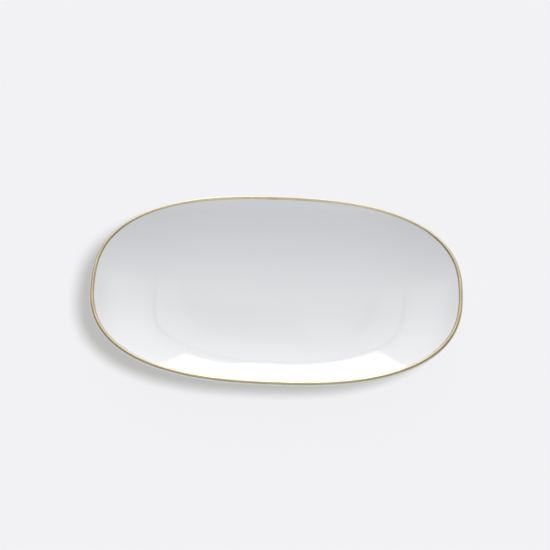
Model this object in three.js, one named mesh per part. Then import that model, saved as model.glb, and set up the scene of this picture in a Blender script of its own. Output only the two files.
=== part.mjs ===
// An oblong relish dish: a shallow glazed porcelain shell, a bare foot ring and a gilded rim.
// Millimetres, +Z up. The origin is on the table under the middle of the dish.
// X runs along the dish and Y across it.

import * as THREE from "three";

// Driving dimensions. A section is drawn across the middle of the dish, along Y.
// In it, reach is the distance out from the middle and height is the distance above the table.

const LENGTH = 230; // over the gilding, along X
const WIDTH = 138; // over the gilding, along Y
const OUTLINE_POWER = 2.53; // superellipse power of the outline: 2 is an ellipse, more is squarer
const MIDDLE_STRETCH = 2.33; // how many times longer than wide the level lines are in the middle of the bowl

const BOWL_DEPTH = 14.7; // from the middle of the floor up to the lip
const BOWL_POWER = 2.3; // how the bowl steepens outwards: 2 is a parabola, more has a flatter floor
const FLOOR_THICKNESS = 3.4;
const FLOOR_WIDTH = 92; // the clay keeps that thickness this far across, and thins from there to the lip
const LIP_THICKNESS = 2; // the lip is a full round of this thickness
const LIP_ZONE = 4; // strip along the edge that is as wide at the ends as at the sides
const LIP_BLEND = 1.2; // how softly the stretched wall passes into that strip

const FOOT_WIDTH = 74; // across the dish, to the middle of the ring's own thickness
const FOOT_HEIGHT = 8;
const FOOT_ROOT = 6.4; // thickness of the ring where it meets the dish
const FOOT_EDGE = 4; // thickness of the ring where it stands
const FOOT_ROUNDING = 1; // radius of the two corners of the standing edge
const LAND_MARGIN = 0.3; // flat margin under the dish on each side of the ring's root
const LAND_FLARE = 3; // width of the shoulder from that flat up to the curved underside
const LAND_STEP = 0.5; // how far the flat stands below the underside at its inner edge
const LAND_EASE = 10; // width over which the ring's even width gives way to the dish's stretch

const GILDING_FILM = 0.3;
const GILDING_GAP = 0.05; // clearance between the gilding and the lip
const GILDING_REACH = 0.9; // how far the gold runs past the round of the lip on each face

// Fineness of the mesh

const STEPS_ROUND = 80;
const BOWL_STEPS = 14;
const UNDER_STEPS = 6; // on each side of the foot
const LIP_STEPS = 6;
const CORNER_STEPS = 3;

// The oval plan. The dish is turned as if it were round, then each turned point is laid out on the oval:
// most of its reach is stretched along the dish, and the last few millimetres run square to the edge.
// The stretch falls from the middle of the bowl to its rim, so the ends rise nearly as steeply as the sides.

const innerZone = WIDTH / 2 - LIP_ZONE;

function edgeOffset(reach) {
  const past = reach - innerZone;
  return (past + Math.hypot(past, 2 * LIP_BLEND)) / 2;
}

const rimOffset = edgeOffset(WIDTH / 2);
const rimReach = WIDTH / 2 - rimOffset;
const rimStretch = (LENGTH / 2 - rimOffset) / rimReach;

function ovalPoint(angle, stretched, offset) {
  const stretch = THREE.MathUtils.lerp(MIDDLE_STRETCH, rimStretch, stretched / rimReach);
  const along = Math.cos(angle);
  const across = Math.sin(angle);
  const sum = Math.abs(along) ** OUTLINE_POWER + Math.abs(across) ** OUTLINE_POWER;
  const size = sum ** (-1 / OUTLINE_POWER);
  const bend = OUTLINE_POWER - 1;
  const square = new THREE.Vector2(
    (Math.sign(along) * Math.abs(size * along) ** bend) / stretch,
    Math.sign(across) * Math.abs(size * across) ** bend,
  ).normalize();
  const point = new THREE.Vector2(stretch * along, across).multiplyScalar(size * stretched);
  return point.addScaledVector(square, offset);
}

// Turns a section and lays it out on the oval.
// offsetOf says how much of the reach of a point at that height runs square to the edge.

function ovalSolid(section, offsetOf) {
  const geometry = new THREE.LatheGeometry(section, STEPS_ROUND);
  geometry.rotateX(Math.PI / 2);
  const places = geometry.attributes.position;
  for (let i = 0; i < places.count; i += 1) {
    const turned = new THREE.Vector2(places.getX(i), places.getY(i));
    const reach = turned.length();
    const offset = reach > 0 ? offsetOf(reach, places.getZ(i)) : 0;
    const laid = ovalPoint(turned.angle(), reach - offset, offset);
    places.setXY(i, laid.x, laid.y);
  }
  geometry.computeVertexNormals();
  return geometry;
}

// The inside of the dish: one smooth bowl that grows steeper all the way from its middle to the lip.

const lipRadius = LIP_THICKNESS / 2;
const lipReach = WIDTH / 2 - GILDING_FILM - GILDING_GAP - lipRadius;
const footReach = FOOT_WIDTH / 2;
const landInner = footReach - FOOT_ROOT / 2 - LAND_MARGIN;
const landOuter = footReach + FOOT_ROOT / 2 + LAND_MARGIN;

function bowlRise(reach) {
  return BOWL_DEPTH * (reach / lipReach) ** BOWL_POWER;
}

const floorMiddle = FOOT_HEIGHT + LAND_STEP + FLOOR_THICKNESS - bowlRise(landInner);

function insideHeight(reach) {
  return floorMiddle + bowlRise(reach);
}

// The lip: a full round on the end of the wall. Its faces lie along the slope of the wall there.

const slope = Math.atan2(BOWL_POWER * BOWL_DEPTH, lipReach);
const lipInner = lipReach - lipRadius * Math.sin(slope);
const lipOuter = lipReach + lipRadius * Math.sin(slope);
const lipHeight = insideHeight(lipInner) - lipRadius * Math.cos(slope);
const lipThickness = LIP_THICKNESS / Math.cos(slope); // measured straight up through the sloped wall

function undersideHeight(reach) {
  const share = THREE.MathUtils.smoothstep(reach, FLOOR_WIDTH / 2, lipOuter);
  const thickness = THREE.MathUtils.lerp(FLOOR_THICKNESS, lipThickness, share);
  return insideHeight(reach) - thickness;
}

function sampled(heightOf, from, to, steps) {
  const points = [];
  for (let i = 0; i <= steps; i += 1) {
    const reach = THREE.MathUtils.lerp(from, to, i / steps);
    points.push(new THREE.Vector2(reach, heightOf(reach)));
  }
  return points;
}

// The foot keeps its thickness all the way round, and so does the flat that it is seated on.

function footOffset(reach) {
  return edgeOffset(footReach) + reach - footReach;
}

function bodyOffset(reach, height) {
  const inside = height > insideHeight(reach) - lipRadius;
  const landHalf = landOuter - footReach + LAND_FLARE;
  const away = Math.abs(reach - footReach);
  const ease = THREE.MathUtils.smoothstep(away, landHalf, landHalf + LAND_EASE);
  return inside ? edgeOffset(reach) : THREE.MathUtils.lerp(footOffset(reach), edgeOffset(reach), ease);
}

// A round of the lip, from its lower face over the edge to its upper face.

function lipRound(radius) {
  const lower = slope - Math.PI / 2;
  const upper = slope + Math.PI / 2;
  return new THREE.EllipseCurve(lipReach, lipHeight, radius, radius, lower, upper).getPoints(LIP_STEPS);
}

const gildingRun = GILDING_REACH * Math.cos(slope); // that length, measured level

function bodySection() {
  return [
    ...sampled(undersideHeight, 0, landInner - LAND_FLARE, UNDER_STEPS),
    new THREE.Vector2(landInner, FOOT_HEIGHT),
    new THREE.Vector2(landOuter, FOOT_HEIGHT),
    ...sampled(undersideHeight, landOuter + LAND_FLARE, lipOuter, UNDER_STEPS).slice(0, -1),
    ...lipRound(lipRadius),
    ...sampled(insideHeight, lipInner - gildingRun, 0, BOWL_STEPS),
  ];
}

// The foot: a tapered ring with rounded corners, seated on the flat land under the floor.

function footSection() {
  const inner = footReach - FOOT_EDGE / 2;
  const outer = footReach + FOOT_EDGE / 2;
  const side = (FOOT_ROOT - FOOT_EDGE) / 2;
  const rise = (side * FOOT_ROUNDING) / FOOT_HEIGHT;
  const innerCorner = new THREE.QuadraticBezierCurve(
    new THREE.Vector2(inner - rise, FOOT_ROUNDING),
    new THREE.Vector2(inner, 0),
    new THREE.Vector2(inner + FOOT_ROUNDING, 0),
  );
  const outerCorner = new THREE.QuadraticBezierCurve(
    new THREE.Vector2(outer - FOOT_ROUNDING, 0),
    new THREE.Vector2(outer, 0),
    new THREE.Vector2(outer + rise, FOOT_ROUNDING),
  );
  const section = [
    new THREE.Vector2(footReach - FOOT_ROOT / 2, FOOT_HEIGHT),
    ...innerCorner.getPoints(CORNER_STEPS),
    ...outerCorner.getPoints(CORNER_STEPS),
    new THREE.Vector2(footReach + FOOT_ROOT / 2, FOOT_HEIGHT),
  ];
  return [...section, section[0].clone()];
}

// The gilding: a thin skin that wraps the lip and ends a little way down each face.

function gildingSection() {
  const down = new THREE.Vector2(-gildingRun, -GILDING_REACH * Math.sin(slope));
  const skin = (radius) => {
    const round = lipRound(radius);
    return [round[0].clone().add(down), ...round, round.at(-1).clone().add(down)];
  };
  const outside = skin(lipRadius + GILDING_GAP + GILDING_FILM);
  const against = skin(lipRadius + GILDING_GAP).reverse();
  return [...outside, ...against, outside[0].clone()];
}

// Finishes

const glazedPorcelain = new THREE.MeshStandardMaterial({ color: 0xe4e4e6, roughness: 0.1, metalness: 0 });
const barePorcelain = new THREE.MeshStandardMaterial({ color: 0xe6e2da, roughness: 0.85, metalness: 0 });
const firedGold = new THREE.MeshStandardMaterial({ color: 0xd2b479, roughness: 0.28, metalness: 1 });

// Assembly

function piece(name, geometry, material) {
  const mesh = new THREE.Mesh(geometry, material);
  mesh.name = name;
  return mesh;
}

const dish = new THREE.Group();
dish.name = "relish_dish";
dish.add(
  piece("dish_body", ovalSolid(bodySection(), bodyOffset), glazedPorcelain),
  piece("foot_ring", ovalSolid(footSection(), footOffset), barePorcelain),
  piece("rim_gilding", ovalSolid(gildingSection(), edgeOffset), firedGold),
);

export default dish;
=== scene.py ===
# %% [markdown]
# # A gilded relish dish
# The real dish is one shallow oblong shell of white porcelain under a clear glaze. A gold line runs round
# its rounded lip, and it stands on a low ring under the floor.
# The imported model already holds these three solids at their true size, so the first step loads it as a
# fixed frame. Every piece made below is finer than its solid, and stands in the same place.

import math
from collections import namedtuple

import bmesh
import bpy
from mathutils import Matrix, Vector, noise


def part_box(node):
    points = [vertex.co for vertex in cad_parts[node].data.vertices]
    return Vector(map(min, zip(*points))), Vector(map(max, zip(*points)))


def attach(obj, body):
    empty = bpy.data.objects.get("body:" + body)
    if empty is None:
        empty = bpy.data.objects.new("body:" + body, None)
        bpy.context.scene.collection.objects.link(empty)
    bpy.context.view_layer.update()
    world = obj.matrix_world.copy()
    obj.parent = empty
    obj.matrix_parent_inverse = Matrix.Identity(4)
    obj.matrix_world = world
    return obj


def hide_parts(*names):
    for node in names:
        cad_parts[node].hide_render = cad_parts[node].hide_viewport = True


MM = 0.001

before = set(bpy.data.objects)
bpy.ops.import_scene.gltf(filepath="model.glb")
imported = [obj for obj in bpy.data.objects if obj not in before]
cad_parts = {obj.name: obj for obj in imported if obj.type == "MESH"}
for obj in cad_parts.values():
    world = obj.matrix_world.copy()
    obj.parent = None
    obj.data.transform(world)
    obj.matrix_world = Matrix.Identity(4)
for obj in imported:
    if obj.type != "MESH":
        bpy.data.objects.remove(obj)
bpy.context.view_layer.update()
for node_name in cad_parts:
    low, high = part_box(node_name)
    size = [round((top - bottom) / MM, 2) for bottom, top in zip(low, high)]
    print(f"{node_name}: {size} mm")

# %% [markdown]
# ## The shape in plain words
# A potter would turn this dish as if it were round and then press it into an oval mould. The code does the
# same. A section is drawn from the middle of the dish out to the edge: reach is the distance out, and
# height the distance above the table. Then each turned point is laid out on the oval.
# The outline is a superellipse, which is an ellipse with fuller shoulders. Most of the reach is stretched
# along the dish, more in the middle of the bowl than at its rim, so that the ends rise nearly as steeply as
# the sides. The last few millimetres run square to the edge, so that the lip is equally thick all round.
# The length and width come from the frame, and the other sizes repeat the solids' own.

# %% Lay a turned point out on the oval
OUTLINE_POWER = 2.53
MIDDLE_STRETCH = 2.33
LIP_ZONE = 4 * MM
LIP_BLEND = 1.2 * MM

rim_low, rim_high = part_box("rim_gilding")
dish_length = rim_high.x - rim_low.x
dish_width = rim_high.y - rim_low.y


def edge_offset(reach):
    beyond = reach - (dish_width / 2 - LIP_ZONE)
    return (beyond + math.hypot(beyond, 2 * LIP_BLEND)) / 2


rim_offset = edge_offset(dish_width / 2)
rim_reach = dish_width / 2 - rim_offset
rim_stretch = (dish_length / 2 - rim_offset) / rim_reach


def oval_point(angle, stretched, offset):
    stretch = MIDDLE_STRETCH + (rim_stretch - MIDDLE_STRETCH) * stretched / rim_reach
    along = math.cos(angle)
    across = math.sin(angle)
    size = (abs(along) ** OUTLINE_POWER + abs(across) ** OUTLINE_POWER) ** (-1 / OUTLINE_POWER)
    bend = OUTLINE_POWER - 1
    square = Vector((
        math.copysign(abs(size * along) ** bend, along) / stretch,
        math.copysign(abs(size * across) ** bend, across),
    )).normalized()
    return Vector((stretch * along, across)) * size * stretched + square * offset


print(f"outline {dish_length / MM:.1f} by {dish_width / MM:.1f} mm")
print(f"stretched {MIDDLE_STRETCH} times in the middle and {rim_stretch:.3f} times at the rim")

# %% [markdown]
# ## The section
# Inside, the dish is one smooth bowl that grows steeper all the way from its middle to the lip. A power of
# the reach draws it: two would make a parabola, and a little more makes the floor flatter and the wall
# rounder. A subdivision surface over a few rings could do this too, but a formula has no lumps, and glaze
# would show them. The underside follows the inside at the thickness of the clay, which thins from the floor
# to the lip. The lip is a full round on the end of the wall, and a point on it is named by its turn round
# that round.

# %% Draw the inside, the underside and the lip
BOWL_DEPTH = 14.7 * MM
BOWL_POWER = 2.3
FLOOR_THICKNESS = 3.4 * MM
FLOOR_REACH = 46 * MM
LIP_RADIUS = 1.3 * MM
GOLD_FILM = 0.04 * MM

floor_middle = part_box("dish_body")[0].z + FLOOR_THICKNESS
lip_reach = dish_width / 2 - GOLD_FILM - LIP_RADIUS
lip_slope = math.atan(BOWL_POWER * BOWL_DEPTH / lip_reach)
lip_start = lip_slope - math.pi / 2
lip_stop = lip_slope + math.pi / 2


def smooth_share(value, start, stop):
    share = min(max((value - start) / (stop - start), 0), 1)
    return share * share * (3 - 2 * share)


def inside_height(reach):
    return floor_middle + BOWL_DEPTH * (reach / lip_reach) ** BOWL_POWER


lip_inner = lip_reach - LIP_RADIUS * math.sin(lip_slope)
lip_outer = lip_reach + LIP_RADIUS * math.sin(lip_slope)
lip_height = inside_height(lip_inner) - LIP_RADIUS * math.cos(lip_slope)


def underside_height(reach):
    lip_thickness = 2 * LIP_RADIUS / math.cos(lip_slope)
    share = smooth_share(reach, FLOOR_REACH, lip_outer)
    return inside_height(reach) - FLOOR_THICKNESS + share * (FLOOR_THICKNESS - lip_thickness)


def lip_point(turn, radius):
    return Vector((lip_reach + radius * math.cos(turn), lip_height + radius * math.sin(turn)))


print(f"floor at {floor_middle / MM:.2f} mm, lip at {(lip_height + LIP_RADIUS) / MM:.2f} mm")
print(f"slope at the lip {math.degrees(lip_slope):.1f} degrees")

# %% [markdown]
# ## A mesh from a section
# Blender's Screw modifier can turn a section, but it only makes round things. Here a helper walks round the
# dish and asks for the section at each angle, so that one helper serves all three pieces, and a section may
# also change on the way. It joins neighbouring points into four-sided faces. The points in the middle of
# the dish fall together, so they are merged at the end.

# %% Turn a section into a mesh
MERGE_DISTANCE = 1e-6

SectionPoint = namedtuple("SectionPoint", "reach height offset")


def turned_mesh(name, section_at, steps, looped):
    vertices = []
    for step in range(steps):
        angle = math.tau * step / steps
        section = section_at(angle)
        for point in section:
            x, y = oval_point(angle, point.reach - point.offset, point.offset)
            vertices.append((x, y, point.height))
    count = len(section)
    faces = []
    for step in range(steps):
        here = step * count
        there = (step + 1) % steps * count
        for i in range(count if looped else count - 1):
            after = (i + 1) % count
            faces.append((here + i, there + i, there + after, here + after))
    mesh = bpy.data.meshes.new(name)
    mesh.from_pydata(vertices, [], faces)
    return mesh


def finished_piece(mesh, merge_distance=MERGE_DISTANCE):
    shape = bmesh.new()
    shape.from_mesh(mesh)
    bmesh.ops.remove_doubles(shape, verts=shape.verts, dist=merge_distance)
    bmesh.ops.recalc_face_normals(shape, faces=shape.faces)
    shape.to_mesh(mesh)
    shape.free()
    mesh.shade_smooth()
    piece = bpy.data.objects.new(mesh.name, mesh)
    bpy.context.scene.collection.objects.link(piece)
    print(f"{mesh.name}: {len(mesh.vertices)} points, {len(mesh.polygons)} faces")
    return piece


def spread(start, stop, steps):
    return [start + (stop - start) * i / steps for i in range(steps + 1)]


def store_values(mesh, name, values):
    mesh.attributes.new(name, "FLOAT", "POINT").data.foreach_set("value", values)


print("sections can be turned into meshes")

# %% [markdown]
# ## The shell
# The shell carries almost everything that the eye sees, so its section is stepped finely, most of all round
# the lip. Under the floor the foot ring keeps an even width all the way round, so there the underside
# follows the ring, and eases back to the stretched oval on both sides of it.
# A number is stored on each point that says how thick the glaze lies there. Liquid glaze runs off the lip
# in the kiln and gathers in the bowl. The glaze's material reads it later.

# %% Make the shell
SHELL_STEPS = 320
BOWL_STEPS = 60
LIP_STEPS = 20
FOOT_REACH = 37 * MM
FOOT_ZONE = 6.5 * MM
FOOT_EASE = 10 * MM
POOL_DEPTH = 0.4
THIN_RUN = 6 * MM


def foot_offset(reach):
    return edge_offset(FOOT_REACH) + reach - FOOT_REACH


def underside_offset(reach):
    ease = smooth_share(abs(reach - FOOT_REACH), FOOT_ZONE, FOOT_ZONE + FOOT_EASE)
    return foot_offset(reach) + ease * (edge_offset(reach) - foot_offset(reach))


def shell_section(angle):
    points = []
    for reach in spread(0, lip_outer, BOWL_STEPS)[:-1]:
        offset = underside_offset(reach) if reach > 0 else 0
        points.append(SectionPoint(reach, underside_height(reach), offset))
    for turn in spread(lip_start, lip_stop, LIP_STEPS):
        reach, height = lip_point(turn, LIP_RADIUS)
        points.append(SectionPoint(reach, height, edge_offset(reach)))
    for reach in reversed(spread(0, lip_inner, BOWL_STEPS)[:-1]):
        offset = edge_offset(reach) if reach > 0 else 0
        points.append(SectionPoint(reach, inside_height(reach), offset))
    return points


def glaze_depth(point):
    return POOL_DEPTH * (1 - smooth_share(point.reach, lip_inner - THIN_RUN, lip_inner))


shell_mesh = turned_mesh("porcelain_shell", shell_section, SHELL_STEPS, looped=False)
depths = [glaze_depth(point) for point in shell_section(0)]
store_values(shell_mesh, "glaze_depth", depths * SHELL_STEPS)
shell = finished_piece(shell_mesh)
print(f"glaze depth runs from {min(depths):.2f} to {max(depths):.2f}")

# %% [markdown]
# ## The foot ring
# The foot is a tapered ring of the same clay. Its standing edge has rounded corners, and it flares into the
# underside on both sides with a small fillet, where glaze would gather. A bevel modifier could round these
# edges, but the two sides meet the underside at different angles, so each fillet is drawn as a curve from
# the ring's side to a point on the underside. The top of the ring ends inside the clay of the shell.

# %% Make the foot ring
FOOT_STEPS = 240
FOOT_EDGE = 4 * MM
FOOT_ROOT = 6.4 * MM
EDGE_ROUNDING = 1 * MM
EDGE_STEPS = 8
SIDE_MARKS = (0.33, 0.67)
FILLET_START = 5.2 * MM
FILLET_REACH = 5.4 * MM
FILLET_STEPS = 10
ROOT_DEPTH = 0.4 * MM

foot_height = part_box("foot_ring")[1].z


def curved(start, corner, stop, steps):
    points = []
    for share in spread(0, 1, steps):
        first = start.lerp(corner, share)
        second = corner.lerp(stop, share)
        points.append(first.lerp(second, share))
    return points


def foot_side(side, height):
    half = FOOT_EDGE / 2 + (FOOT_ROOT - FOOT_EDGE) / 2 * height / foot_height
    return Vector((FOOT_REACH + side * half, height))


def foot_half(side):
    standing = Vector((FOOT_REACH + side * (FOOT_EDGE / 2 - EDGE_ROUNDING), 0))
    edge = curved(standing, foot_side(side, 0), foot_side(side, EDGE_ROUNDING), EDGE_STEPS)
    seat_reach = FOOT_REACH + side * FILLET_REACH
    seat = Vector((seat_reach, underside_height(seat_reach)))
    root = foot_side(side, underside_height(FOOT_REACH + side * FOOT_ROOT / 2))
    fillet = curved(foot_side(side, FILLET_START), root, seat, FILLET_STEPS)
    buried = Vector((FOOT_REACH + side * FOOT_ROOT / 2, root.y + ROOT_DEPTH))
    middle = [edge[-1].lerp(fillet[0], share) for share in SIDE_MARKS]
    return edge + middle + fillet + [buried]


foot_outline = [*reversed(foot_half(-1)), *foot_half(1)]


def foot_section(angle):
    return [SectionPoint(p.x, p.y, foot_offset(p.x)) for p in foot_outline]


foot = finished_piece(turned_mesh("standing_ring", foot_section, FOOT_STEPS, looped=True))

# %% [markdown]
# ## The gold line
# Gold is brushed on by hand over the fired glaze, with the dish turning on a wheel, and fired again. It is
# far thinner than paper, so the piece is a skin that hugs the lip, a little wider inside on the near side.
# It begins above the lip's outermost edge, where the brush lets go, and ends a short way down the inside.
# The painter's hand shows in its two edges, which waver by a tenth of a millimetre, so the section changes
# on the way round. Noise sampled on a circle comes back to where it began, so the line has no seam.

# %% Draw the gold line's section
GOLD_INSIDE = 0.8 * MM
GOLD_NEAR_EXTRA = 0.2 * MM
GOLD_LOW_TURN = math.radians(42)
GOLD_TUCK = 0.03 * MM
GOLD_EDGE_FILM = GOLD_FILM / 4
EDGE_TURN = math.radians(6)
EDGE_RUN = 0.85
GOLD_WAVER = 0.1 * MM
WAVES_ROUND = 9
FINER_WAVES = 3.1
FINER_SHARE = 0.5
INNER_SEED = 1.5
LOWER_SEED = 7.5


def wavering(angle, seed):
    place = Vector((math.cos(angle), math.sin(angle), 0)) * WAVES_ROUND + Vector((0, 0, seed))
    return noise.noise(place) + FINER_SHARE * noise.noise(place * FINER_WAVES)


def gold_skin(angle, lift):
    near_extra = GOLD_NEAR_EXTRA * max(0, -math.sin(angle)) ** 2
    inside_run = GOLD_INSIDE + near_extra + GOLD_WAVER * wavering(angle, INNER_SEED)
    low_turn = GOLD_LOW_TURN + GOLD_WAVER / LIP_RADIUS * wavering(angle, LOWER_SEED)
    down = Vector((-math.cos(lip_slope), -math.sin(lip_slope)))
    up_normal = Vector((-math.sin(lip_slope), math.cos(lip_slope)))
    upper = lip_point(lip_stop, LIP_RADIUS)
    edge_lift = min(lift, GOLD_EDGE_FILM)
    skin = [lip_point(low_turn, LIP_RADIUS + edge_lift)]
    for turn in spread(low_turn + EDGE_TURN, lip_stop, LIP_STEPS):
        skin.append(lip_point(turn, LIP_RADIUS + lift))
    skin.append(upper + down * inside_run * EDGE_RUN + up_normal * lift)
    skin.append(upper + down * inside_run + up_normal * edge_lift)
    return skin


def gold_section(angle):
    outline = gold_skin(angle, GOLD_FILM) + gold_skin(angle, -GOLD_TUCK)[::-1]
    return [SectionPoint(p.x, p.y, edge_offset(p.x)) for p in outline]


gold_width = (lip_stop - GOLD_LOW_TURN) * LIP_RADIUS + GOLD_INSIDE
print(f"the gold is {gold_width / MM:.1f} mm wide across the lip")

# %% [markdown]
# ## What the brush left behind, and a painted highlight
# Two things are stored on each point of the gold for its material. The first is a path for the brush marks:
# the way along the rim is its true length, laid on a circle so that it closes, and the way across is
# stretched, so that plain noise turns into long streaks. The second is how deep the film lies. A wet line
# draws together in its middle and thins towards both edges. Round the two far corners the film is also made
# thinner and so paler, as a painted highlight. The skin is so thin that only points which truly coincide
# may be merged.

# %% Make the gold line
GOLD_STEPS = 720
GOLD_MERGE = 1e-9
STREAK_STRETCH = 14
FILM_EDGE = 0.5
LOWER_THINNING = (0.05, 0.4)
INNER_THINNING = (0.68, 0.92)
PAINTED_CORNER_SHEEN = 1.3


def film_and_sheen_at(angle, share):
    # Thinner film round the far corners is a painted highlight: paler gold in place of light mirrored
    # there.
    corner = PAINTED_CORNER_SHEEN * max(0, math.sin(angle)) * abs(math.sin(2 * angle))
    middle = smooth_share(share, *LOWER_THINNING) * (1 - smooth_share(share, *INNER_THINNING))
    return (FILM_EDGE + (1 - FILM_EDGE) * middle) * (1 - min(1, corner))


angles = spread(0, math.tau, GOLD_STEPS)
rim_marks = [oval_point(angle, lip_reach, 0) for angle in angles]
rim_length = sum((b - a).length for a, b in zip(rim_marks, rim_marks[1:]))
skin_steps = spread(0, 1, len(gold_section(0)) // 2 - 1)
brush_path = []
film_and_sheen = []
travelled = 0
for step in range(GOLD_STEPS):
    way = math.tau * travelled / rim_length
    travelled += (rim_marks[step + 1] - rim_marks[step]).length
    ring = Vector((math.cos(way), math.sin(way))) * rim_length / math.tau
    for share in skin_steps + skin_steps[::-1]:
        brush_path += [ring.x, ring.y, share * gold_width * STREAK_STRETCH]
        film_and_sheen.append(film_and_sheen_at(angles[step], share))

gold_mesh = turned_mesh("gold_line", gold_section, GOLD_STEPS, looped=True)
gold_mesh.attributes.new("brush_path", "FLOAT_VECTOR", "POINT").data.foreach_set("vector", brush_path)
store_values(gold_mesh, "gold_film_and_sheen", film_and_sheen)
gold = finished_piece(gold_mesh, GOLD_MERGE)
print(f"the gold runs {rim_length / MM:.0f} mm round the rim")

# %% [markdown]
# ## Helpers for materials
# A material in Blender is a small graph of nodes. Short helpers keep the graphs below readable: one adds a
# node with its settings, one starts a material with its Principled shader, and one starts a group, which is
# a graph with named inputs and outputs that several materials can share. The others mix, calculate and
# change the range of a value. A range is a pair of numbers, such as the two levels between which noise
# usually swings.

# %% Start materials and groups
NOISE_SWING = (0.3, 0.7)
FULL_RANGE = (0.0, 1.0)
FALLING = (1.0, 0.0)
VECTOR_SOCKET = "NodeSocketVector"
VALUE_SOCKET = "NodeSocketFloat"


def add_node(tree, kind, settings=None, inputs=None):
    node = tree.nodes.new(kind)
    for key, value in (settings or {}).items():
        setattr(node, key, value)
    for key, value in (inputs or {}).items():
        if isinstance(value, bpy.types.NodeSocket):
            tree.links.new(value, node.inputs[key])
        else:
            node.inputs[key].default_value = value
    return node


def start_material(name, **sockets):
    material = bpy.data.materials.new(name)
    material.use_nodes = True
    tree = material.node_tree
    shader = tree.nodes["Principled BSDF"]
    for key, value in sockets.items():
        shader.inputs[key.replace("_", " ")].default_value = value
    return material, tree, shader


def start_group(name, inputs, outputs):
    group = bpy.data.node_groups.new(name, "ShaderNodeTree")
    for socket, kind in inputs.items():
        group.interface.new_socket(socket, in_out="INPUT", socket_type=kind)
    for socket, kind in outputs.items():
        group.interface.new_socket(socket, in_out="OUTPUT", socket_type=kind)
    return group, group.nodes.new("NodeGroupInput"), group.nodes.new("NodeGroupOutput")


def mixed_colour(tree, share, first, second):
    inputs = {0: share, 6: first, 7: second}
    return add_node(tree, "ShaderNodeMix", {"data_type": "RGBA"}, inputs).outputs[2]


def mixed_value(tree, share, first, second):
    inputs = {0: share, 2: first, 3: second}
    return add_node(tree, "ShaderNodeMix", {"data_type": "FLOAT"}, inputs).outputs[0]


def calculated(tree, operation, *values):
    inputs = dict(enumerate(values))
    return add_node(tree, "ShaderNodeMath", {"operation": operation}, inputs).outputs[0]


def reranged(tree, value, old_range, new_range):
    inputs = {"Value": value, 1: old_range[0], 2: old_range[1], 3: new_range[0], 4: new_range[1]}
    return add_node(tree, "ShaderNodeMapRange", None, inputs).outputs["Result"]


print("helpers for materials are ready")

# %% [markdown]
# ## Shared effect: the skin of the glaze
# A fired glaze is never quite flat. It has slow ripples a few centimetres long, which bend the edges of
# reflections, a tone that drifts a little, and here and there a pin-sized grey speck from the kiln. The
# shell and the sides of the foot both have it, so it is a group.
# The ripples and the drift are noise. The specks are the hearts of Voronoi cells, kept in only a few cells
# by comparing each cell's random colour with a limit.

# %% Build the glaze skin
DRIFTS_PER_METRE = 18.0
SPECK_EDGE = (0.02, 0.05)
SPECK_LIMIT = 0.93

glaze_skin, skin_in, skin_out = start_group(
    "glaze_skin",
    {"Place": VECTOR_SOCKET, "Ripples per Metre": VALUE_SOCKET, "Specks per Metre": VALUE_SOCKET},
    {"Ripple": VALUE_SOCKET, "Drift": VALUE_SOCKET, "Speck": VALUE_SOCKET},
)
skin_place = skin_in.outputs["Place"]
ripple = add_node(glaze_skin, "ShaderNodeTexNoise", None, {
    "Vector": skin_place, "Scale": skin_in.outputs["Ripples per Metre"], "Detail": 1.0, "Roughness": 0.4,
})
drift = add_node(glaze_skin, "ShaderNodeTexNoise", None, {
    "Vector": skin_place, "Scale": DRIFTS_PER_METRE, "Detail": 3.0,
})
cells = add_node(glaze_skin, "ShaderNodeTexVoronoi", None, {
    "Vector": skin_place, "Scale": skin_in.outputs["Specks per Metre"],
})
speck_heart = reranged(glaze_skin, cells.outputs["Distance"], SPECK_EDGE, FALLING)
speck_chance = add_node(glaze_skin, "ShaderNodeSeparateColor", None, {"Color": cells.outputs["Color"]})
speck_kept = calculated(glaze_skin, "GREATER_THAN", speck_chance.outputs["Red"], SPECK_LIMIT)
speck = calculated(glaze_skin, "MULTIPLY", speck_heart, speck_kept)
glaze_skin.links.new(ripple.outputs["Fac"], skin_out.inputs["Ripple"])
glaze_skin.links.new(drift.outputs["Fac"], skin_out.inputs["Drift"])
glaze_skin.links.new(speck, skin_out.inputs["Speck"])
print(f"{glaze_skin.name}: {len(glaze_skin.nodes)} nodes")

# %% [markdown]
# ## Shared effect: fine grain
# Bare porcelain is as fine as chalk to the touch, and gold fired from a brushed liquid keeps a fine tooth.
# Both need a small, even grain, with wider patches where it is denser. Two noises of different size make
# it.

# %% Build the fine grain
fine_grain, grain_in, grain_out = start_group(
    "fine_grain",
    {"Place": VECTOR_SOCKET, "Grains per Metre": VALUE_SOCKET, "Patches per Metre": VALUE_SOCKET},
    {"Grain": VALUE_SOCKET, "Patches": VALUE_SOCKET},
)
grain_place = grain_in.outputs["Place"]
grain = add_node(fine_grain, "ShaderNodeTexNoise", None, {
    "Vector": grain_place, "Scale": grain_in.outputs["Grains per Metre"], "Detail": 4.0, "Roughness": 0.65,
})
patches = add_node(fine_grain, "ShaderNodeTexNoise", None, {
    "Vector": grain_place, "Scale": grain_in.outputs["Patches per Metre"], "Detail": 2.0,
})
fine_grain.links.new(grain.outputs["Fac"], grain_out.inputs["Grain"])
fine_grain.links.new(patches.outputs["Fac"], grain_out.inputs["Patches"])
print(f"{fine_grain.name}: {len(fine_grain.nodes)} nodes")

# %% [markdown]
# ## The glazed porcelain
# White porcelain is a very pale neutral grey, never pure white. The clear glaze gives it a mirror-like
# shine that is weak when it is looked at from above and strong at a glancing angle, which is what the
# Principled shader does with an index of refraction of 1.5. Where the glaze lies thick it looks a little
# greyer. A coat layer could stand for the glaze as well, but base and glaze act as one here, so one layer
# is enough.

# %% Finish the shell
GLAZE_IOR = 1.5
PORCELAIN_WHITE = (0.811, 0.811, 0.819, 1)
PORCELAIN_WARM = (0.814, 0.813, 0.815, 1)
DEEP_GLAZE = (0.775, 0.775, 0.783, 1)
SPECK_GREY = (0.55, 0.54, 0.52, 1)
SPECK_STRENGTH = 0.5
GLAZE_ROUGHNESS = (0.03, 0.05)


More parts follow.
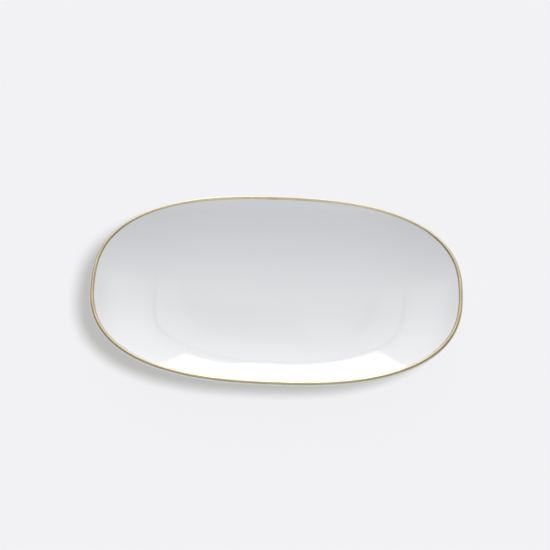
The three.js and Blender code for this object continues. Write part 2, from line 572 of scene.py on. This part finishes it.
def glaze_colour(tree, skin, depth):
    drifted = mixed_colour(tree, skin.outputs["Drift"], PORCELAIN_WHITE, PORCELAIN_WARM)
    pooled = mixed_colour(tree, depth, drifted, DEEP_GLAZE)
    faint_speck = calculated(tree, "MULTIPLY", skin.outputs["Speck"], SPECK_STRENGTH)
    return mixed_colour(tree, faint_speck, pooled, SPECK_GREY)


porcelain, tree, shader = start_material("glazed_porcelain", IOR=GLAZE_IOR)
place = add_node(tree, "ShaderNodeTexCoord").outputs["Object"]
skin = add_node(tree, "ShaderNodeGroup", {"node_tree": glaze_skin}, {
    "Place": place, "Ripples per Metre": 45.0, "Specks per Metre": 90.0,
})
depth = add_node(tree, "ShaderNodeAttribute", {"attribute_name": "glaze_depth"}).outputs["Fac"]
gloss = reranged(tree, skin.outputs["Drift"], NOISE_SWING, GLAZE_ROUGHNESS)
glaze_bump = add_node(tree, "ShaderNodeBump", None, {
    "Height": skin.outputs["Ripple"], "Strength": 0.25, "Distance": 0.1 * MM,
})
tree.links.new(glaze_colour(tree, skin, depth), shader.inputs["Base Color"])
tree.links.new(gloss, shader.inputs["Roughness"])
tree.links.new(glaze_bump.outputs["Normal"], shader.inputs["Normal"])
shell.data.materials.append(porcelain)
print(f"{porcelain.name} uses {skin.node_tree.name}")

# %% [markdown]
# ## The fired gold
# Metal has no colour of its own under its shine: its base colour tints what it mirrors. The stored depth of
# the film chooses the colour: deep and warm on top of the lip, thin and pale at the edges, where the white
# below shows through. Round the two far corners the pale colour is a painted highlight. Streaks along the
# brush path break it up a little and change the roughness, and the shared grain adds a fine tooth.

# %% Finish the gold line
GOLD_THICK = (0.36, 0.30, 0.175, 1)
# The thin colour also serves as a painted highlight round the two far corners.
GOLD_THIN_AND_SHEEN = (0.55, 0.49, 0.34, 1)
STREAKS_PER_METRE = 130.0
STREAK_SWING = (0.35, 0.65)
STREAKS_IN_FILM = 0.3
DULLNESS_SWING = (0.2, 0.8)
GOLD_ROUGHNESS = (0.23, 0.36)

fired_gold, tree, shader = start_material("fired_gold", Metallic=1.0)
path = add_node(tree, "ShaderNodeAttribute", {"attribute_name": "brush_path"}).outputs["Vector"]
streaks = add_node(tree, "ShaderNodeTexNoise", None, {
    "Vector": path, "Scale": STREAKS_PER_METRE, "Detail": 3.0,
}).outputs["Fac"]
streak_share = reranged(tree, streaks, STREAK_SWING, FULL_RANGE)
place = add_node(tree, "ShaderNodeTexCoord").outputs["Object"]
tooth = add_node(tree, "ShaderNodeGroup", {"node_tree": fine_grain}, {
    "Place": place, "Grains per Metre": 5000.0, "Patches per Metre": 60.0,
})
film_and_sheen_depth = add_node(tree, "ShaderNodeAttribute", {"attribute_name": "gold_film_and_sheen"}).outputs["Fac"]
film_and_sheen_share = mixed_value(tree, STREAKS_IN_FILM, film_and_sheen_depth, streak_share)
dullness = mixed_value(tree, tooth.outputs["Patches"], streak_share, tooth.outputs["Grain"])
gold_gloss = reranged(tree, dullness, DULLNESS_SWING, GOLD_ROUGHNESS)
streak_height = mixed_value(tree, streak_share, tooth.outputs["Grain"], streaks)
gold_bump = add_node(tree, "ShaderNodeBump", None, {
    "Height": streak_height, "Strength": 0.3, "Distance": 0.01 * MM,
})
tree.links.new(mixed_colour(tree, film_and_sheen_share, GOLD_THIN_AND_SHEEN, GOLD_THICK), shader.inputs["Base Color"])
tree.links.new(gold_gloss, shader.inputs["Roughness"])
tree.links.new(gold_bump.outputs["Normal"], shader.inputs["Normal"])
gold.data.materials.append(fired_gold)
print(f"{fired_gold.name} uses {tooth.node_tree.name}")

# %% [markdown]
# ## The foot's two finishes
# The dish is dipped in glaze, and then the standing edge is wiped clean so that it doesn't stick to the
# kiln shelf. So the ring is glossy on its sides and bare underneath, with a line between the two that
# wavers as a sponge does. The height above the table, disturbed by noise, makes a mask that chooses between
# the two finishes. The bare edge is warmer, matt and grainy, with darker scuffs from the table.

# %% Finish the foot ring
BARE_CLAY = (0.76, 0.73, 0.68, 1)
SCUFFED_CLAY = (0.66, 0.62, 0.56, 1)
SCUFF_SWING = (0.45, 0.7)
SCUFF_DEPTHS = (0.0, 0.7)
GLAZE_LINE = (0.82 * MM, 0.98 * MM)
SPONGE_WAVER = (-0.5 * MM, 0.5 * MM)
POOL_HEIGHTS = (5 * MM, 9 * MM)
POOL_DEPTHS = (0.3, 0.9)
CLAY_ROUGHNESS = (0.75, 0.92)
RING_GLAZE_ROUGHNESS = (0.06, 0.1)

ring_finish, tree, shader = start_material("bare_porcelain", IOR=GLAZE_IOR)
place = add_node(tree, "ShaderNodeTexCoord").outputs["Object"]
clay = add_node(tree, "ShaderNodeGroup", {"node_tree": fine_grain}, {
    "Place": place, "Grains per Metre": 2500.0, "Patches per Metre": 110.0,
})
skin = add_node(tree, "ShaderNodeGroup", {"node_tree": glaze_skin}, {
    "Place": place, "Ripples per Metre": 120.0, "Specks per Metre": 120.0,
})
height = add_node(tree, "ShaderNodeSeparateXYZ", None, {0: place}).outputs["Z"]
sponge = reranged(tree, clay.outputs["Patches"], NOISE_SWING, SPONGE_WAVER)
glazed = reranged(tree, calculated(tree, "ADD", height, sponge), GLAZE_LINE, FULL_RANGE)
scuffs = reranged(tree, clay.outputs["Patches"], SCUFF_SWING, SCUFF_DEPTHS)
clay_colour = mixed_colour(tree, scuffs, BARE_CLAY, SCUFFED_CLAY)
side_colour = glaze_colour(tree, skin, reranged(tree, height, POOL_HEIGHTS, POOL_DEPTHS))
clay_dullness = reranged(tree, clay.outputs["Grain"], NOISE_SWING, CLAY_ROUGHNESS)
side_gloss = reranged(tree, skin.outputs["Drift"], NOISE_SWING, RING_GLAZE_ROUGHNESS)
ring_height = mixed_value(tree, glazed, clay.outputs["Grain"], skin.outputs["Ripple"])
ring_bump = add_node(tree, "ShaderNodeBump", None, {
    "Height": ring_height, "Strength": 0.4, "Distance": 0.05 * MM,
})
tree.links.new(mixed_colour(tree, glazed, clay_colour, side_colour), shader.inputs["Base Color"])
tree.links.new(mixed_value(tree, glazed, clay_dullness, side_gloss), shader.inputs["Roughness"])
tree.links.new(ring_bump.outputs["Normal"], shader.inputs["Normal"])
foot.data.materials.append(ring_finish)
print(f"{ring_finish.name} uses {clay.node_tree.name} and {skin.node_tree.name}")

# %% [markdown]
# ## Tie the pieces to the frame
# Each piece stands for one solid of the frame, which is hidden, and hangs from the empty of the body named
# root. The dish has no moving parts, so all three ride on the one body.

# %% Tie the pieces to the frame
for piece, node_name, slot_name in (
    (shell, "dish_body", "glazed_porcelain"),
    (gold, "rim_gilding", "fired_gold"),
    (foot, "foot_ring", "bare_porcelain"),
):
    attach(piece, "root")
    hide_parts(node_name)
    print(f"{piece.name} stands for {node_name}")

# %% [markdown]
# ## The floor
# The dish stands on a pale sweep that is as light as the page round it, with one soft shadow and no other
# shade. A real photographer lights such a sweep on its own. Here about half of its paleness is glow, and a
# lamp that shines on the floor alone adds the rest, so that the dish's shadow takes away a known share.
# Seen from below the floor is clear, so that the underside can be looked at.

# %% Make the floor
FLOOR_HALF = 4.0
FLOOR_GLOW = (0.478, 0.477, 0.464, 1)
FLOOR_GREY = (0.05, 0.05, 0.054, 1)

floor_mesh = bpy.data.meshes.new("pale_floor")
corners = [
    (-FLOOR_HALF, -FLOOR_HALF, 0),
    (FLOOR_HALF, -FLOOR_HALF, 0),
    (FLOOR_HALF, FLOOR_HALF, 0),
    (-FLOOR_HALF, FLOOR_HALF, 0),
]
floor_mesh.from_pydata(corners, [], [(0, 1, 2, 3)])
floor = bpy.data.objects.new("pale_floor", floor_mesh)
bpy.context.scene.collection.objects.link(floor)
floor_finish, tree, shader = start_material(
    "pale_sweep", Base_Color=FLOOR_GREY, Roughness=1.0, Specular_IOR_Level=0.0,
    Emission_Color=FLOOR_GLOW, Emission_Strength=1.0,
)
below = add_node(tree, "ShaderNodeNewGeometry").outputs["Backfacing"]
clear = add_node(tree, "ShaderNodeBsdfTransparent")
either = add_node(tree, "ShaderNodeMixShader", None, {0: below, 1: shader.outputs[0], 2: clear.outputs[0]})
tree.links.new(either.outputs[0], tree.nodes["Material Output"].inputs["Surface"])
floor_mesh.materials.append(floor_finish)
print(f"floor {2 * FLOOR_HALF:.0f} m wide")

# %% [markdown]
# ## The shadow on the floor
# The shadow falls to the left and keeps close to the dish, so its lamp stands high on the right and a
# little in front. Its wide angle makes the soft edge. Light linking gives the lamp only the floor to shine
# on.

# %% Hang the shadow lamp
SHADOW_STRENGTH = 26.6
SHADOW_ANGLE = math.radians(22)
SHADOW_DIRECTION = (-0.50, 0.295, -1.0)


def aim(item, direction):
    item.rotation_euler = Vector(direction).to_track_quat("-Z", "Y").to_euler()


shadow_lamp = bpy.data.objects.new("shadow_lamp", bpy.data.lights.new("shadow_lamp", "SUN"))
shadow_lamp.data.energy = SHADOW_STRENGTH
shadow_lamp.data.angle = SHADOW_ANGLE
shadow_lamp.location = (0, 0, 1)
aim(shadow_lamp, SHADOW_DIRECTION)
bpy.context.scene.collection.objects.link(shadow_lamp)
floor_only = bpy.data.collections.new("floor_only")
floor_only.objects.link(floor)
shadow_lamp.light_linking.receiver_collection = floor_only

# %% [markdown]
# ## Arithmetic on the sky
# The rest of the light comes from the sky, which is drawn with Math nodes. A wide soft studio can also be a
# room full of lamps, but a drawn sky gives clean, even shading without grain. Each helper here adds one
# small sum to the sky's graph. An edge is a place and a softness, so that every light can end crisply or
# fade out.

# %% Start the sky
sky = bpy.data.worlds.new("studio_sky")
sky.use_nodes = True
bpy.context.scene.world = sky
sky_tree = sky.node_tree

Edge = namedtuple("Edge", "place softness")


def plus(first, second):
    return calculated(sky_tree, "ADD", first, second)


def minus(first, second):
    return calculated(sky_tree, "SUBTRACT", first, second)


def times(first, *factors):
    result = first
    for factor in factors:
        result = calculated(sky_tree, "MULTIPLY", result, factor)
    return result


def divided(first, second):
    return calculated(sky_tree, "DIVIDE", first, second)


def larger(first, second):
    return calculated(sky_tree, "MAXIMUM", first, second)


def distance_from(value, place):
    return calculated(sky_tree, "ABSOLUTE", minus(value, place))


def up_to(value, edge):
    return reranged(sky_tree, value, (edge.place - edge.softness, edge.place + edge.softness), FALLING)


def past(value, edge):
    return reranged(sky_tree, value, (edge.place - edge.softness, edge.place + edge.softness), FULL_RANGE)


heading = add_node(sky_tree, "ShaderNodeTexCoord").outputs["Generated"]
heading = add_node(sky_tree, "ShaderNodeSeparateXYZ", None, {0: heading}).outputs
to_right = heading["X"]
to_back = heading["Y"]
to_top = heading["Z"]
print(f"{sky.name} is ready to be drawn on")

# %% [markdown]
# ## The light on the dish
# The side of the bowl nearest to the camera is the brightest and the far side the darkest, so the light
# comes from behind: the sky grows lighter towards the back. It is a little lighter on the right than on the
# left, and its two sides are shaded, as dark walls would shade them. The level is one where porcelain looks
# as pale as it is.

# %% Light the sky
SKY_LEVEL = 0.497
SKY_BEHIND = 1.25
SKY_FRONT = 0.10
SKY_LEAN = 0.07
SIDE_RUN = (0.3, 0.55)
SIDE_SHADE = 0.62

from_behind = times(larger(to_back, 0.0), SKY_BEHIND)
from_front = larger(times(to_back, -SKY_FRONT), 0.0)
open_sky = plus(plus(from_behind, from_front), SKY_LEVEL)
side_shade = reranged(sky_tree, distance_from(to_right, 0.0), SIDE_RUN, (1.0, SIDE_SHADE))
lean = reranged(sky_tree, to_right, (-1.0, 1.0), (1.0 - SKY_LEAN, 1.0 + SKY_LEAN))
plain_sky = times(open_sky, side_shade, lean)
print(f"sky {SKY_LEVEL * SIDE_SHADE:.2f} at the sides and {SKY_LEVEL + SKY_BEHIND:.2f} behind")

# %% [markdown]
# ## Lights overhead and in front
# Glaze also mirrors the studio, and a smooth bowl draws each straight light as a curve. These lights are
# laid out as on a ceiling: how far aside and behind, each divided by the height. One hangs right overhead,
# with a tongue that reaches further back, and a wide strip hangs in front of it. Behind the overhead light
# the ceiling is dark again, and the bowl's floor shows that hollow as two darker patches, one on each side
# of the tongue. The strip lifts the wall under the far rim.

# %% Hang the lights overhead and in front
LEAST_RISE = 0.05
CEILING_MIDDLE = -0.045
OVERHEAD_LIGHT = 0.56
OVERHEAD_END = Edge(0.68, 0.03)
OVERHEAD_HALF = Edge(0.16, 0.12)
TONGUE_MIDDLE = -0.08
TONGUE_HALF = Edge(0.043, 0.01)
TONGUE_LENGTH = 0.5
STRIP_LIGHT = 0.55
STRIP_END = Edge(-0.21, 0.02)
STRIP_HALF = Edge(1.1, 0.3)
FRONT_LIMIT = Edge(-0.6, 0.2)

rise = larger(to_top, LEAST_RISE)
ceiling_aside = divided(to_right, rise)
ceiling_behind = divided(to_back, rise)
from_middle = distance_from(ceiling_aside, CEILING_MIDDLE)

in_tongue = up_to(distance_from(ceiling_aside, TONGUE_MIDDLE), TONGUE_HALF)
overhead_run = minus(ceiling_behind, times(in_tongue, TONGUE_LENGTH))
overhead = times(up_to(overhead_run, OVERHEAD_END), up_to(from_middle, OVERHEAD_HALF), OVERHEAD_LIGHT)
strip = times(up_to(ceiling_behind, STRIP_END), up_to(from_middle, STRIP_HALF), STRIP_LIGHT)
front_half = times(plus(overhead, strip), past(ceiling_behind, FRONT_LIMIT))
print(f"overhead {OVERHEAD_LIGHT} and strip {STRIP_LIGHT} more than the plain sky")

# %% [markdown]
# ## The band, the wings and the seam
# Behind the hollow hangs a band whose front edge is bowed and whose two ends are brighter, and outside it
# hang two wings. Between band and wings runs a dark seam in the shape of a U. The glaze shows it as a thin
# grey line above the highlight that turns up at both ends. The larger of two distances, one aside and one
# backwards, draws the U, and a smooth switch between the two rounds its corners.

# %% Hang the band and the wings
BAND_LIGHT = 0.44
BAND_END_LIGHT = 0.4
BAND_ENDS = Edge(0.15, 0.06)
BAND_START = Edge(1.24, 0.025)
BAND_BEND = 30.0
SEAM_HALF = 0.245
SEAM_END = 2.40
SEAM_SLANT = 5.0
SEAM_MIDDLE = -0.06
SEAM_ROUNDING = 0.25
SEAM_INNER = Edge(0.965, 0.015)
SEAM_OUTER = Edge(1.035, 0.015)
SEAM_START = Edge(0.7, 0.1)
SEAM_SHADE = 0.85
WING_LIGHT = 0.46
WING_HALF = Edge(0.7, 0.15)
WING_SIDE_LIGHT = 0.72
WING_SIDES = Edge(0.25, 0.05)
WING_SIDES_END = Edge(1.9, 0.5)
BACK_START = Edge(0.6, 0.12)
HORIZON = Edge(0.03, 0.03)

seam_run = plus(ceiling_behind, times(distance_from(ceiling_aside, SEAM_MIDDLE), SEAM_SLANT))
seam_place = calculated(
    sky_tree, "SMOOTH_MAX", divided(from_middle, SEAM_HALF), divided(seam_run, SEAM_END), SEAM_ROUNDING,
)
in_band = up_to(seam_place, SEAM_INNER)
in_wings = past(seam_place, SEAM_OUTER)

bowed_run = plus(ceiling_behind, times(from_middle, from_middle, BAND_BEND))
band_light = plus(times(past(from_middle, BAND_ENDS), BAND_END_LIGHT), BAND_LIGHT)
band = times(in_band, past(bowed_run, BAND_START), band_light)
wing_sides = times(past(from_middle, WING_SIDES), up_to(ceiling_behind, WING_SIDES_END), WING_SIDE_LIGHT)
wings = times(in_wings, up_to(from_middle, WING_HALF), plus(wing_sides, WING_LIGHT))
back_half = times(plus(band, wings), past(ceiling_behind, BACK_START))

off_seam = larger(plus(in_band, in_wings), up_to(ceiling_behind, SEAM_START))
seam_shade = reranged(sky_tree, off_seam, FULL_RANGE, (SEAM_SHADE, 1.0))
ceiling = times(plus(front_half, back_half), past(to_top, HORIZON))
soft_sky = times(plus(plain_sky, ceiling), seam_shade)
print(f"band {BAND_LIGHT} and wings {WING_LIGHT} more than the plain sky")

# %% [markdown]
# ## The bright window
# One bright window stands low behind the dish. It shows in the near side of the bowl as a crisp white
# highlight. An area lamp could stand there, but its outline would be a plain rectangle. Drawn on the sky,
# the window narrows upwards and its top sags to a shallow V, and these two show as the slanted ends and the
# bowed upper edge of the highlight. Aside and up are measured against the distance behind, as on a wall
# that stands there. The sky's colour comes last. It is a touch cooler in front, which the far side of the
# bowl faces.

# %% Draw the window on the sky
LEAST_DISTANCE = 0.05
WINDOW_LIGHT = 2.9
WINDOW_MIDDLE = -0.0575
WINDOW_HALF = Edge(0.162, 0.004)
WINDOW_LEAN = 0.133
WINDOW_TOP = Edge(0.369, 0.008)
TOP_LOWEST_AT = -0.012
TOP_RISE = 1.8
BACK_WALL = Edge(0.25, 0.15)
COOL_FRONT = (0.961, 0.985, 1.044, 1)
PLAIN_BACK = (1, 1, 1, 1)
COOL_END = Edge(-0.05, 0.45)

distance_behind = larger(to_back, LEAST_DISTANCE)
wall_aside = divided(to_right, distance_behind)
wall_up = divided(to_top, distance_behind)
leaning = plus(distance_from(wall_aside, WINDOW_MIDDLE), times(wall_up, WINDOW_LEAN))
sagging = minus(wall_up, times(distance_from(wall_aside, TOP_LOWEST_AT), TOP_RISE))
window = times(up_to(leaning, WINDOW_HALF), up_to(sagging, WINDOW_TOP), past(to_back, BACK_WALL))
sky_strength = plus(soft_sky, times(window, WINDOW_LIGHT))
sky_colour = mixed_colour(sky_tree, past(to_back, COOL_END), COOL_FRONT, PLAIN_BACK)
background = sky_tree.nodes["Background"]
sky_tree.links.new(sky_strength, background.inputs["Strength"])
sky_tree.links.new(sky_colour, background.inputs["Color"])
print(f"the window adds {WINDOW_LIGHT} to the sky")

# %% [markdown]
# ## The camera
# The dish is seen from well above, from a little to the right of its middle, through a long lens. The
# camera is aimed at a point on the table that falls in the centre of the picture.

# %% Place the camera
VIEW_RISE = math.radians(56.95)
VIEW_TURN = math.radians(2.56)
VIEW_DISTANCE = 1.2
VIEW_POINT = Vector((-1.95, 24.1, 0)) * MM
LENS_LENGTH = 123.9
SENSOR_WIDTH = 36

camera = bpy.data.objects.new("camera", bpy.data.cameras.new("camera"))
outward = Vector((
    math.sin(VIEW_TURN) * math.cos(VIEW_RISE),
    -math.cos(VIEW_TURN) * math.cos(VIEW_RISE),
    math.sin(VIEW_RISE),
))
camera.location = VIEW_POINT + VIEW_DISTANCE * outward
aim(camera, -outward)
camera.data.lens = LENS_LENGTH
camera.data.sensor_width = SENSOR_WIDTH
bpy.context.scene.collection.objects.link(camera)
bpy.context.scene.camera = camera
bpy.context.scene.view_settings.view_transform = "Standard"
print(f"camera {VIEW_DISTANCE} m away, lens {camera.data.lens:.0f} mm")
